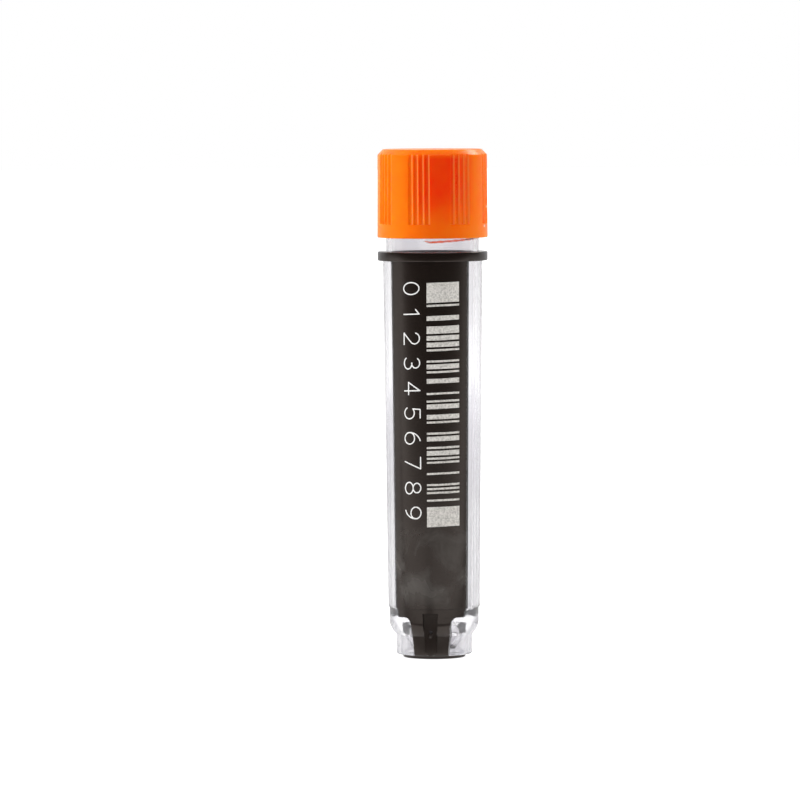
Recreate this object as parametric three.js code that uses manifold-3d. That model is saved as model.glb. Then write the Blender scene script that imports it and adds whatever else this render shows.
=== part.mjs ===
// Cryogenic storage tube with an external screw thread, closed by its cap.
//
// A clear vessel and a black jacket are moulded together in two shots. The jacket is one
// piece: a flange ring round the foot of the neck, a flush panel down the front, a narrow
// waist through the foot and a disc that the tube stands on. The cap is an orange moulding
// with a grooved grip and an internal thread, and it holds a soft sealing ring.
//
// Millimetres, +Z up. The tube's axis is Z, it stands on z = 0 and its panel faces -Y.
// An azimuth is measured from -Y towards +X, in degrees.

import * as THREE from 'three';
import { mergeVertices } from 'three/addons/utils/BufferGeometryUtils.js';
import Module from 'manifold-3d';

// ---- heights of the vessel, from the foot up ----
const discProud = 0.5;             // the jacket's disc stands this far below the skirt
const skirtHeight = 3.0;           // narrow clear skirt round the foot
const ledgeHeight = 2.1;           // curved ledge between the skirt and the collar
const collarHeight = 2.1;          // from the ledge up to the step in the body
const bodyLength = 52.6;           // from the step up to the flange
const flangeThickness = 1.4;
const neckShowing = 2.1;           // bare neck between the flange and the cap

// ---- widths of the vessel ----
const bodyFootR = 6.98;
const bodyTaper = 0.56;            // the body is this much wider, in radius, at the flange
const neckStep = 0.51;             // from the body in to the neck
const flangeReach = 0.81;          // from the body out to the flange's edge
const stepDepth = 0.18;            // small step from the body in to the collar
const ledgeDepth = 0.99;           // curved ledge from the collar in to the skirt
const skirtWall = 0.81;
const rimRound = 0.4;              // rounded lower edge of the skirt
const edgeBreak = 0.15;            // small chamfer on sharp moulded edges

// ---- walls and cavity ----
const bodyWall = 1.25;
const neckWall = 0.85;
const coneHeight = 5.3;            // conical lower end of the cavity
const coneFloorR = 2.1;
const coneFloorRound = 0.5;
const floorWall = 1.1;             // clear plastic between the cavity and the disc's seat
const hollowHeight = 3.2;          // the skirt is hollow this far up from its rim
const stemR = 3.2;                 // foot of the cone, which is bonded to the disc
const stemHeight = 0.5;

// ---- jacket ----
const bondGap = 0.2;               // between the jacket and the vessel that it is moulded to
const panelDepth = 0.6;
const panelAzimuth = -5.5;         // the panel's centre line
const panelHalfAngle = 50;
const discThickness = 0.7;
const discClearance = 0.26;        // between the disc and the hollow skirt round it
const shoulderDrop = 1.3;          // how far the full-width panel runs on below the step
const shoulderRound = 2.2;         // concave corner from the shoulder into the waist
const waistTopWidth = 5.8;
const waistFootWidth = 4.9;
const waistDepth = 1.4;            // the waist is this thick through the skirt

// ---- gate land on the waist, where the black plastic was fed in ----
const landInset = 0.5;             // the land is a flat this far inside the collar
const landTopWidth = 2.3;
const landFootWidth = 1.75;
const landTopDrop = 0.7;           // from the step down to the land's upper end
const landFootRise = 0.05;         // from the skirt's rim up to the land's lower end
const landBacking = 0.3;           // black plastic behind the land
const gateR = 0.3;                 // stub left where the gate was broken off
const gateLength = 0.45;
const gateRise = 3.4;              // from the skirt's rim up to the stub

// ---- cap ----
const capHeight = 13.4;
const capWall = 0.77;              // at the open end
const capDraft = 0.08;             // the cap is this much slimmer at the top
const capChamfer = 0.84;
const roofThickness = 1.4;
const leadIn = 0.3;                // chamfer inside the cap's open edge
const gripGroups = 8;
const groovesPerGroup = 4;
const groovePitch = 6.05;          // degrees between neighbouring grooves
const grooveDepth = 0.25;
const grooveCutterR = 0.42;
const smoothBand = 2.05;           // plain band below the grooves
const gripAzimuth = -14.65;        // centre of one group of grooves

// ---- thread, shared by the neck and the cap ----
const threadLead = 2.8;            // right-handed, one start
const threadHeight = 0.45;
const threadRootWidth = 1.15;
const threadCrestWidth = 0.6;
const threadClearance = 0.13;      // radial, between each crest and the wall it faces
const threadAzimuth = -14;         // where the neck's thread begins
const threadRise = 1.85;           // from the flange up to the thread's first centre line
const neckThreadTurns = 2.25;
const capThreadTurns = 1.5;
const runOut = 0.09;               // turns over which a thread fades in or out
const threadRooting = 0.2;         // how far a rib is sunk into the wall that carries it

// ---- sealing ring ----
const sealThickness = 1.0;
const sealInset = 0.58;            // the ring reaches this far in over the mouth
const sealSideClearance = 0.3;
const seatGap = 0.3;               // between the ring and the faces it is clamped between

// ---- facets ----
const sides = 64;                  // facets round the axis
const cutterSides = 10;
const arcSteps = 3;
const ledgeSteps = 5;
const overcut = 3;                 // how far a cutter runs past what it cuts

// ---- levels and radii that follow from the sizes above ----
const rimZ = discProud;
const ledgeLowZ = rimZ + skirtHeight;
const ledgeHighZ = ledgeLowZ + ledgeHeight;
const stepZ = ledgeHighZ + collarHeight;
const flangeLowZ = stepZ + bodyLength;
const flangeHighZ = flangeLowZ + flangeThickness;
const capLowZ = flangeHighZ + neckShowing;
const capTopZ = capLowZ + capHeight;
const roofZ = capTopZ - roofThickness;
const sealTopZ = roofZ - seatGap;
const sealLowZ = sealTopZ - sealThickness;
const mouthZ = sealLowZ - seatGap;
const seatCeilingZ = discThickness + bondGap;
const coneFloorZ = seatCeilingZ + floorWall;
const coneTopZ = coneFloorZ + coneHeight;
const bodyTopR = bodyFootR + bodyTaper;
const neckR = bodyTopR - neckStep;
const flangeR = bodyTopR + flangeReach;
const collarR = bodyFootR - stepDepth;
const skirtR = collarR - ledgeDepth;
const hollowR = skirtR - skirtWall;
const hollowTopZ = rimZ + hollowHeight;
const discR = hollowR - discClearance;
const landR = collarR - landInset;
const jacketInnerTopR = bodyTopR - panelDepth;
const mouthR = neckR - neckWall;
const capBoreR = neckR + threadHeight + threadClearance;
const capFootR = capBoreR + capWall;
const capTopR = capFootR - capDraft;
const reach = flangeR + overcut;

const wasm = await Module();
wasm.setup();

const rad = THREE.MathUtils.degToRad;

// A geometry as a manifold solid, with its shared corners merged and its slivers dropped.
function solid(geometry) {
  geometry.deleteAttribute('normal');
  geometry.deleteAttribute('uv');
  const merged = mergeVertices(geometry);
  const corners = merged.getIndex();
  const triVerts = [];
  for (let i = 0; i < corners.count; i += 3) {
    const [a, b, c] = [corners.getX(i), corners.getX(i + 1), corners.getX(i + 2)];
    if (a !== b && b !== c && c !== a) triVerts.push(a, b, c);
  }
  return new wasm.Manifold(new wasm.Mesh({
    numProp: 3,
    vertProperties: new Float32Array(merged.getAttribute('position').array),
    triVerts: new Uint32Array(triVerts),
  }));
}

function named(name, body, material) {
  const { vertProperties, triVerts } = body.getMesh();
  const geometry = new THREE.BufferGeometry();
  geometry.setAttribute('position', new THREE.BufferAttribute(vertProperties, 3));
  geometry.setIndex(new THREE.BufferAttribute(triVerts, 1));
  geometry.computeVertexNormals();
  const mesh = new THREE.Mesh(geometry, material);
  mesh.name = name;
  return mesh;
}

// A solid of revolution. The profile lists [radius, height] anticlockwise round the section.
// Its facets start where the thread does, so that walls and ribs share their facet edges.
function revolve(profile) {
  const points = profile.map(([r, z]) => new THREE.Vector2(r, z));
  const geometry = new THREE.LatheGeometry(points, sides);
  geometry.rotateX(Math.PI / 2);
  geometry.rotateZ(rad(threadAzimuth));
  return solid(geometry);
}

function ring(innerR, outerR, lowZ, highZ) {
  return revolve([[innerR, lowZ], [outerR, lowZ], [outerR, highZ], [innerR, highZ], [innerR, lowZ]]);
}

function disc(outerR, lowZ, highZ) {
  return revolve([[0, lowZ], [outerR, lowZ], [outerR, highZ], [0, highZ]]);
}

// Points on a rounded outer edge that faces down, width across and height tall.
function roundedEdge(innerR, lowZ, width, height) {
  const points = [];
  for (let i = 0; i <= arcSteps; i += 1) {
    const angle = Math.PI / 2 * i / arcSteps;
    points.push([innerR + width * Math.sin(angle), lowZ + height * (1 - Math.cos(angle))]);
  }
  return points;
}

// Points up the curved ledge, which meets the collar without an edge.
function curvedLedge() {
  const points = [];
  for (let i = 0; i <= ledgeSteps; i += 1) {
    const part = i / ledgeSteps;
    points.push([skirtR + ledgeDepth * (1 - (1 - part) ** 2), ledgeLowZ + ledgeHeight * part]);
  }
  return points;
}

// A flat outline in the X-Z plane, pushed along Y from nearY to farY on the front side.
function frontPrism(shape, nearY, farY) {
  const geometry = new THREE.ExtrudeGeometry(shape, {
    depth: farY - nearY,
    bevelEnabled: false,
    curveSegments: 2 * arcSteps,
  });
  geometry.rotateX(Math.PI / 2);
  geometry.translate(0, farY, 0);
  return solid(geometry);
}

// ---- vessel and jacket share this outer surface, from the skirt's rim to the flange ----
function outerSurface() {
  return [
    ...roundedEdge(skirtR - rimRound, rimZ, rimRound, rimRound),
    ...curvedLedge(),
    [collarR, stepZ],
    [bodyFootR, stepZ],
    [bodyTopR, flangeLowZ],
    [bodyTopR, flangeLowZ + flangeThickness / 2],
  ];
}

// ---- jacket ----

// Outline of the panel, its shoulders and the waist, seen from the front. Each side is
// moved outwards by grow, so that the same outline also cuts the seat in the vessel.
function jacketOutline(grow) {
  const panelX = (r) => r * Math.sin(rad(panelHalfAngle)) + grow;
  const shoulderZ = stepZ - shoulderDrop - grow;
  const waistX = waistTopWidth / 2 + grow;
  const footX = waistFootWidth / 2 + grow;
  const waistZ = shoulderZ - shoulderRound;
  const shape = new THREE.Shape();
  shape.moveTo(footX, -overcut);
  shape.lineTo(footX, 0);
  shape.lineTo(waistX, waistZ);
  shape.quadraticCurveTo(waistX, shoulderZ, waistX + shoulderRound / 2, shoulderZ);
  shape.lineTo(panelX(collarR), shoulderZ);
  shape.lineTo(panelX(bodyFootR), stepZ);
  shape.lineTo(panelX(bodyTopR), flangeLowZ + flangeThickness / 2);
  shape.lineTo(-panelX(bodyTopR), flangeLowZ + flangeThickness / 2);
  shape.lineTo(-panelX(bodyFootR), stepZ);
  shape.lineTo(-panelX(collarR), shoulderZ);
  shape.lineTo(-waistX - shoulderRound / 2, shoulderZ);
  shape.quadraticCurveTo(-waistX, shoulderZ, -waistX, waistZ);
  shape.lineTo(-footX, 0);
  shape.lineTo(-footX, -overcut);
  return shape;
}

// The clear plastic behind the jacket: the jacket lies outside this form.
function jacketCore(grow) {
  const inset = panelDepth + grow;
  return revolve([
    [0, -2 * overcut],
    [skirtR - waistDepth - grow, -2 * overcut],
    [skirtR - waistDepth - grow, ledgeLowZ],
    [collarR - inset, ledgeHighZ],
    [collarR - inset, stepZ],
    [bodyTopR - inset, flangeLowZ],
    [bodyTopR - inset, flangeHighZ + overcut],
    [0, flangeHighZ + overcut],
  ]);
}

// Outline of the gate land, with a rounded lower end.
function landOutline(grow) {
  const topZ = stepZ - landTopDrop + grow;
  const footX = landFootWidth / 2 + grow;
  const footZ = rimZ + landFootRise + landFootWidth / 2;
  const topX = landTopWidth / 2 + grow;
  const shape = new THREE.Shape();
  shape.moveTo(topX, topZ);
  shape.lineTo(-topX, topZ);
  shape.lineTo(-footX, footZ);
  shape.absarc(0, footZ, footX, Math.PI, 2 * Math.PI, false);
  shape.lineTo(topX, topZ);
  return shape;
}

// Everything on the front that belongs to the jacket, moved outwards by grow.
function jacketSlab(grow) {
  const slab = frontPrism(jacketOutline(grow), -reach, 0).subtract(jacketCore(grow));
  const backing = frontPrism(landOutline(grow + landBacking), -reach, grow + landBacking - landR);
  return slab.add(backing.intersect(frontPrism(jacketOutline(grow), -reach, 0)));
}

function flangeRing() {
  return revolve([
    [jacketInnerTopR, flangeLowZ],
    [flangeR - edgeBreak, flangeLowZ],
    [flangeR, flangeLowZ + edgeBreak],
    [flangeR, flangeHighZ - edgeBreak],
    [flangeR - edgeBreak, flangeHighZ],
    [jacketInnerTopR, flangeHighZ],
    [jacketInnerTopR, flangeLowZ],
  ]);
}

function gateStub() {
  const geometry = new THREE.CylinderGeometry(gateR, gateR, gateLength + landBacking / 2, cutterSides);
  geometry.translate(0, -landR - gateLength / 2 + landBacking / 4, rimZ + gateRise);
  return solid(geometry);
}

function jacketBody() {
  const surface = outerSurface();
  const outer = revolve([[0, rimZ], ...surface, [0, surface.at(-1)[1]]]);
  const land = frontPrism(landOutline(0), -landR, landBacking - landR);
  const recess = frontPrism(landOutline(0), -reach, -landR);
  return outer
    .intersect(jacketSlab(0))
    .add(land)
    .subtract(recess)
    .add(gateStub())
    .add(disc(discR, 0, discThickness))
    .add(flangeRing())
    .rotate([0, 0, panelAzimuth]);
}

// The room in the vessel that the jacket fills, bondGap larger all round.
function jacketSeat() {
  return jacketSlab(bondGap)
    .add(disc(discR + bondGap, -overcut, seatCeilingZ))
    .add(ring(jacketInnerTopR - bondGap, reach, flangeLowZ - bondGap, flangeHighZ + bondGap))
    .rotate([0, 0, panelAzimuth]);
}

// ---- thread ----

// A helical rib on a wall of radius wallR. It stands outwards on the neck and inwards in
// the cap, is sunk a little into the wall, and fades into it at both ends.
function threadRib(wallR, outwards, startZ, turns) {
  const side = outwards ? 1 : -1;
  const section = new THREE.Shape();
  section.moveTo(-threadRootWidth / 2, 0);
  section.lineTo(threadRootWidth / 2, 0);
  section.lineTo(threadCrestWidth / 2, 1);
  section.lineTo(-threadCrestWidth / 2, 1);
  const geometry = new THREE.ExtrudeGeometry(section, {
    depth: turns,
    steps: Math.round(turns * sides),
    bevelEnabled: false,
  });
  const corner = geometry.getAttribute('position');
  for (let i = 0; i < corner.count; i += 1) {
    const turn = corner.getZ(i);
    const fade = Math.min(1, turn / runOut, (turns - turn) / runOut);
    const height = corner.getY(i) * (threadRooting / 2 + (threadHeight + threadRooting / 2) * fade);
    const r = wallR + side * (height - threadRooting);
    const azimuth = rad(threadAzimuth) + 2 * Math.PI * turn;
    const z = startZ + threadLead * turn + side * corner.getX(i);
    corner.setXYZ(i, r * Math.sin(azimuth), -r * Math.cos(azimuth), z);
  }
  return solid(geometry);
}

// ---- vessel ----
function vesselBody() {
  const coneTopR = bodyFootR - bodyWall;
  const blank = revolve([
    [0, seatCeilingZ],
    [stemR, seatCeilingZ],
    [stemR, seatCeilingZ + stemHeight],
    [hollowR, hollowTopZ],
    [hollowR, rimZ],
    ...outerSurface(),
    [neckR, flangeLowZ + flangeThickness / 2],
    [neckR, mouthZ - edgeBreak],
    [neckR - edgeBreak, mouthZ],
    [mouthR + edgeBreak, mouthZ],
    [mouthR, mouthZ - edgeBreak],
    [bodyTopR - bodyWall, flangeLowZ],
    [coneTopR, coneTopZ],
    [coneFloorR + coneFloorRound, coneFloorZ + coneFloorRound],
    [coneFloorR, coneFloorZ],
    [0, coneFloorZ],
  ]);
  const startZ = flangeHighZ + threadRise;
  return blank
    .subtract(jacketSeat())
    .add(threadRib(neckR, true, startZ, neckThreadTurns));
}

// ---- cap ----
function gripCutter(azimuth) {
  const height = capTopZ + overcut - capLowZ - smoothBand;
  const geometry = new THREE.CylinderGeometry(grooveCutterR, grooveCutterR, height, cutterSides);
  geometry.rotateX(Math.PI / 2);
  geometry.translate(0, -capFootR + grooveDepth - grooveCutterR, capLowZ + smoothBand + height / 2);
  geometry.rotateZ(rad(azimuth));
  return solid(geometry);
}

function gripCutters() {
  const cutters = [];
  for (let group = 0; group < gripGroups; group += 1) {
    const centre = gripAzimuth + 360 * group / gripGroups;
    for (let groove = 0; groove < groovesPerGroup; groove += 1) {
      cutters.push(gripCutter(centre + groovePitch * (groove - (groovesPerGroup - 1) / 2)));
    }
  }
  return wasm.Manifold.union(cutters);
}

function capBody() {
  const shell = revolve([
    [0, roofZ],
    [capBoreR, roofZ],
    [capBoreR, capLowZ + leadIn],
    [capBoreR + leadIn, capLowZ],
    [capFootR - edgeBreak, capLowZ],
    [capFootR, capLowZ + edgeBreak],
    [capTopR, capTopZ - capChamfer],
    [capTopR - capChamfer, capTopZ],
    [0, capTopZ],
  ]);
  const startZ = flangeHighZ + threadRise + threadLead / 2;
  return shell
    .subtract(gripCutters())
    .add(threadRib(capBoreR, false, startZ, capThreadTurns));
}

// ---- sealing ring ----
function sealBody() {
  return ring(mouthR - sealInset, capBoreR - sealSideClearance, sealLowZ, sealTopZ);
}

// ---- the assembled tube ----
const clearPlastic = new THREE.MeshStandardMaterial({
  color: 0xe4eaee,
  roughness: 0.08,
  metalness: 0,
  transparent: true,
  opacity: 0.4,
});
const blackPlastic = new THREE.MeshStandardMaterial({ color: 0x221f1d, roughness: 0.35, metalness: 0 });
const orangePlastic = new THREE.MeshStandardMaterial({ color: 0xff6a0c, roughness: 0.3, metalness: 0 });
const paleSilicone = new THREE.MeshStandardMaterial({ color: 0xe6e2da, roughness: 0.6, metalness: 0 });

const vessel = new THREE.Group();
vessel.add(named('tube', vesselBody(), clearPlastic));
vessel.add(named('jacket', jacketBody(), blackPlastic));

const closure = new THREE.Group();
closure.add(named('cap', capBody(), orangePlastic));
closure.add(named('seal_ring', sealBody(), paleSilicone));

const cryovial = new THREE.Group();
cryovial.add(vessel, closure);

export default cryovial;
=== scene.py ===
import math
from collections import namedtuple

import bpy
import numpy as np
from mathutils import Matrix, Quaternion, Vector


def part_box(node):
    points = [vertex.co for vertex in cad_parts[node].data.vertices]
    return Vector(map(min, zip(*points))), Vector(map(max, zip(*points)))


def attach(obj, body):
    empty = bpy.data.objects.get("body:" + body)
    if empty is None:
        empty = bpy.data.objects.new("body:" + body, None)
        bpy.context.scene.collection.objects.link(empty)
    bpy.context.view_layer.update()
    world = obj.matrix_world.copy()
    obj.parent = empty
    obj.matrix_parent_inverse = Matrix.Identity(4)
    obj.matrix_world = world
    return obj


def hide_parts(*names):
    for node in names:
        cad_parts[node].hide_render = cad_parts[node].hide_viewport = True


# A screw-capped storage tube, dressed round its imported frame. Metres, +Z up, and the black
# panel faces -Y. An azimuth is measured from -Y towards +X.

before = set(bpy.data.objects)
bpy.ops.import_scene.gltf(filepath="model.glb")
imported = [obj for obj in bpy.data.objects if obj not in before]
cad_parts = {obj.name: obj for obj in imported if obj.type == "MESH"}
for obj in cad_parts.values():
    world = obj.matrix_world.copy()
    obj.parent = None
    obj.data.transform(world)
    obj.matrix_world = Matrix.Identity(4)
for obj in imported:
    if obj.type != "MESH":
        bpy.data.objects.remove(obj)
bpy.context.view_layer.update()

MM = 0.001
DEGREE = math.pi / 180

# ---- levels, from the frame ----
RIM_Z, MOUTH_Z = (corner.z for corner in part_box("tube"))
DISC_Z, FLANGE_TOP_Z = (corner.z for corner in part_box("jacket"))
CAP_LOW_Z, CAP_TOP_Z = (corner.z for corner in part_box("cap"))
SEAL_LOW_Z, SEAL_TOP_Z = (corner.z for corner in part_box("seal_ring"))
SKIRT_HEIGHT = 3.0 * MM
LEDGE_HEIGHT = 2.1 * MM
COLLAR_HEIGHT = 2.1 * MM
FLANGE_THICKNESS = 1.4 * MM
LEDGE_LOW_Z = RIM_Z + SKIRT_HEIGHT
LEDGE_HIGH_Z = LEDGE_LOW_Z + LEDGE_HEIGHT
STEP_Z = LEDGE_HIGH_Z + COLLAR_HEIGHT
FLANGE_LOW_Z = FLANGE_TOP_Z - FLANGE_THICKNESS
FLANGE_MID_Z = FLANGE_TOP_Z - FLANGE_THICKNESS / 2

# ---- radii of the vessel ----
SKIRT_R = 5.81 * MM
COLLAR_R = 6.80 * MM
BODY_FOOT_R = 6.98 * MM
BODY_TOP_R = 7.54 * MM
FLANGE_R = 8.35 * MM
NECK_R = 7.03 * MM
MOUTH_R = 6.18 * MM
BODY_WALL = 1.25 * MM
RIM_ROUND = 0.4 * MM
EDGE_ROUND = 0.15 * MM
CONE_TOP_Z = 7.3 * MM
CONE_FLOOR_Z = 2.0 * MM
CONE_FLOOR_R = 2.5 * MM
HOLLOW_R = 5.0 * MM              # the skirt is hollow inside this
HOLLOW_TOP_Z = 3.7 * MM
STEM_R = 3.2 * MM                # the cone's foot, which stands on the black disc
STEM_TOP_Z = 1.4 * MM
STEM_SINK = 0.1 * MM             # the stem reaches this far into the disc
STEM_ROUND = 0.15 * MM
HOLLOW_ROUND = 0.3 * MM
CONE_ROUND = 0.6 * MM
CONE_FLOOR_ROUND = 0.5 * MM
BORE_ROUND = 2 * MM              # where the neck's bore widens into the body's

# ---- jacket ----
PROUD = 0.03 * MM                # the black plastic stands this little out of the clear
PANEL_DEPTH = 0.6 * MM
PANEL_AZIMUTH = -5.5 * DEGREE
PANEL_HALF_ANGLE = 48.6 * DEGREE
SHOULDER_Z = 6.4 * MM
SHOULDER_ROUND = 2.2 * MM
SHOULDER_LEAN = 0.25 * MM        # the shoulder's sides lean in by this much
WAIST_HALF_WIDTH = 2.87 * MM
FOOT_HALF_WIDTH = 2.45 * MM
WAIST_BACK_R = 4.41 * MM
DISC_R = 4.74 * MM
DISC_THICKNESS = 0.7 * MM
LAND_Y = -6.3 * MM               # the gate land is a flat this far in front of the axis
LAND_TOP_Z = 7.0 * MM
LAND_TOP_HALF = 1.12 * MM
LAND_FOOT_HALF = 0.87 * MM
LAND_FOOT_Z = 1.4 * MM           # centre of the land's rounded lower end
LAND_EDGE = 0.09 * MM            # rounding along the land's edges
LAND_COVER = 0.05 * MM           # black plastic over the clear behind the land
LAND_MARGIN = 0.2 * MM           # the clear is set back this far beside the land
LAND_MARGIN_UP = 0.45 * MM
GATE_Z = 3.9 * MM
GATE_R = 0.42 * MM
GATE_LENGTH = 0.42 * MM
GATE_SINK = 0.1 * MM             # the stub reaches this far behind the land
GATE_SAG = 0.12 * MM             # its tip leans down by this much
GATE_LUMP = 0.08                 # how uneven its broken edge is

# ---- cap and its sealing ring ----
CAP_FOOT_R = 8.38 * MM
CAP_TOP_R = 8.30 * MM
CAP_CHAMFER = 0.84 * MM
CAP_BORE_R = 7.61 * MM
CAP_ROOF = 1.4 * MM
LEAD_IN = 0.3 * MM
ROOF_ROUND = 0.3 * MM
GRIP_GROUPS = 8
GROOVES_PER_GROUP = 4
GROOVE_PITCH = 6.05 * DEGREE
GROOVE_DEPTH = 0.25 * MM
GROOVE_CUTTER_R = 0.42 * MM
GRIP_AZIMUTH = -14.65 * DEGREE
SMOOTH_BAND = 2.05 * MM         # the plain band below the grooves
SEAL_OUTER_R = 7.31 * MM
SEAL_BORE_R = 5.6 * MM
SEAL_ROUND = 0.2 * MM

# ---- thread ----
THREAD_LEAD = 2.8 * MM
THREAD_HEIGHT = 0.45 * MM
THREAD_ROOT = 1.15 * MM
THREAD_CREST = 0.6 * MM
THREAD_AZIMUTH = -14 * DEGREE
THREAD_RISE = 1.85 * MM          # from the flange up to where the neck's thread begins
NECK_TURNS = 2.25
CAP_TURNS = 1.5
NECK_THREAD_Z = FLANGE_TOP_Z + THREAD_RISE
CAP_THREAD_Z = NECK_THREAD_Z + THREAD_LEAD / 2
THREAD_FORM = {
    "Azimuth": THREAD_AZIMUTH,
    "Lead": THREAD_LEAD,
    "Height": THREAD_HEIGHT,
    "Root Width": THREAD_ROOT,
    "Crest Width": THREAD_CREST,
}

# ---- print on the panel ----
PRINT_PROUD = 0.015 * MM
PRINT_DEPTH = 0.03 * MM
PRINT_TOP_Z = 57.2 * MM
BARS_FOOT_Z = 20.3 * MM
BARS_AZIMUTH = 12.0 * DEGREE
BARS_SPAN = 5.11 * MM
PRINT_SLANT = 0.035              # the whole print climbs to one side by this much
DIGITS_AZIMUTH = -26.1 * DEGREE
DIGIT_HEIGHT = 2.58 * MM
DIGIT_PITCH = 3.77 * MM
STROKE_WIDTH = 0.18 * MM
DIGIT_TEXT = "0123456789"

# ---- fineness ----
COLUMNS = 320                    # points round the vessel and the jacket's rings
SEAL_COLUMNS = 96
STUB_COLUMNS = 24
ROUND_STEPS = 6                  # along a rounded corner
EDGE_STEPS = 9                   # across a narrow step in a surface
NECK_ROW = 0.075 * MM            # between rows where the neck's thread is raised
BORE_ROW = 0.14 * MM             # and where the cap's is
ROW_APART = 0.004 * MM           # rows of the black sheet closer than this are one


# ================================ meshes ================================

Corner = namedtuple("Corner", "r z round step", defaults=(0.0, 0.0))


def unit(vector):
    return vector / np.linalg.norm(vector)


def turned_by(point, azimuth):
    x, y, z = point
    sine, cosine = math.sin(azimuth), math.cos(azimuth)
    return (x * cosine - y * sine, x * sine + y * cosine, z)


def bend(before, corner, after):
    """Points round one corner of an outline."""
    here = np.array((corner.r, corner.z))
    if corner.round == 0 or before is None or after is None:
        return [here]
    start = here + unit(np.array((before.r, before.z)) - here) * corner.round
    end = here + unit(np.array((after.r, after.z)) - here) * corner.round
    steps = np.linspace(0, 1, ROUND_STEPS + 1)
    return [(1 - t) ** 2 * start + 2 * t * (1 - t) * here + t * t * end for t in steps]


def trace(corners, closed=False):
    """The points of an outline, its corners rounded and the runs with a step divided."""
    count = len(corners)
    bends = []
    for i, corner in enumerate(corners):
        before = corners[i - 1] if closed or i > 0 else None
        after = corners[(i + 1) % count] if closed or i < count - 1 else None
        bends.append(bend(before, corner, after))
    points = []
    for i, corner in enumerate(corners):
        points.extend(bends[i])
        if corner.step and (closed or i < count - 1):
            start, end = bends[i][-1], bends[(i + 1) % count][0]
            parts = math.ceil(np.linalg.norm(end - start) / corner.step)
            points.extend(start + (end - start) * k / parts for k in range(1, parts))
    return points


def new_piece(name, vertices, faces, material):
    mesh = bpy.data.meshes.new(name)
    mesh.from_pydata([tuple(v) for v in vertices], [], faces)
    mesh.validate()
    mesh.materials.append(material)
    piece = bpy.data.objects.new(name, mesh)
    bpy.context.scene.collection.objects.link(piece)
    return piece


def skin_faces(rows, columns, first=0):
    """Quads over a stack of rings, each a loop of columns points."""
    faces = []
    for i in range(rows - 1):
        low = first + i * columns
        high = low + columns
        for j in range(columns):
            k = (j + 1) % columns
            faces.append((low + j, low + k, high + k, high + j))
    return faces


def turned(name, outline, azimuths, material, closed=False):
    """A piece turned round Z. Its outline starts and ends on the axis, or closes on itself."""
    azimuths = np.asarray(azimuths)
    columns = len(azimuths)
    sines, cosines = np.sin(azimuths), np.cos(azimuths)
    body = outline if closed else outline[1:-1]
    vertices = []
    for r, z in body:
        vertices.extend(zip(r * sines, -r * cosines, np.full(columns, z)))
    faces = skin_faces(len(body), columns)
    last = (len(body) - 1) * columns
    if closed:
        for j in range(columns):
            k = (j + 1) % columns
            faces.append((last + j, last + k, k, j))
    else:
        start = len(vertices)
        vertices.append((0, 0, outline[0][1]))
        vertices.append((0, 0, outline[-1][1]))
        for j in range(columns):
            k = (j + 1) % columns
            faces.append((start, k, j))
            faces.append((start + 1, last + j, last + k))
    return new_piece(name, vertices, faces, material)


def lofted(name, loops, material):
    """A piece stacked from loops of points. Each end is closed across its own loop."""
    rows, columns = len(loops), len(loops[0])
    faces = skin_faces(rows, columns)
    half = columns // 2
    last = (rows - 1) * columns
    for j in range(half - 1):
        back = columns - 1 - j
        faces.append((j, back, back - 1, j + 1))
        faces.append((last + j, last + j + 1, last + back - 1, last + back))
    vertices = [point for loop in loops for point in loop]
    return new_piece(name, vertices, faces, material)


def even_azimuths(count):
    return np.arange(count) * 2 * math.pi / count


def smoothed(piece, sharp_degrees=32):
    piece.data.shade_smooth()
    piece.data.set_sharp_from_angle(angle=math.radians(sharp_degrees))
    return piece


def made_plain(piece):
    """Replaces a piece's mesh with what its modifiers make of it."""
    bpy.context.view_layer.update()
    evaluated = piece.evaluated_get(bpy.context.evaluated_depsgraph_get())
    mesh = bpy.data.meshes.new_from_object(evaluated)
    mesh.name = piece.name
    piece.modifiers.clear()
    old = piece.data
    piece.data = mesh
    bpy.data.meshes.remove(old)
    return piece


def fused(piece, *others):
    """Joins closed pieces into one closed piece."""
    for other in others:
        joint = piece.modifiers.new(other.name, "BOOLEAN")
        joint.operation = "UNION"
        joint.solver = "MANIFOLD"
        joint.object = other
    made_plain(piece)
    for other in others:
        bpy.data.objects.remove(other)
    return piece


# ================================ node trees ================================

GEOMETRY = "NodeSocketGeometry"
MATERIAL = "NodeSocketMaterial"
NUMBER_SOCKETS = {float: "NodeSocketFloat", int: "NodeSocketInt"}


def arithmetic(operation, swapped=False):
    def apply(self, other):
        pair = (other, self) if swapped else (self, other)
        return self.graph.math(operation, *pair)
    return apply


class Field:
    """An output of a node. Arithmetic on it adds Math nodes to its graph."""

    def __init__(self, graph, socket):
        self.graph, self.socket = graph, socket

    __add__ = arithmetic("ADD")
    __sub__ = arithmetic("SUBTRACT")
    __rsub__ = arithmetic("SUBTRACT", swapped=True)
    __mul__ = arithmetic("MULTIPLY")
    __rmul__ = arithmetic("MULTIPLY", swapped=True)
    __truediv__ = arithmetic("DIVIDE")
    __rtruediv__ = arithmetic("DIVIDE", swapped=True)

    def __neg__(self):
        return self * -1.0


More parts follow.
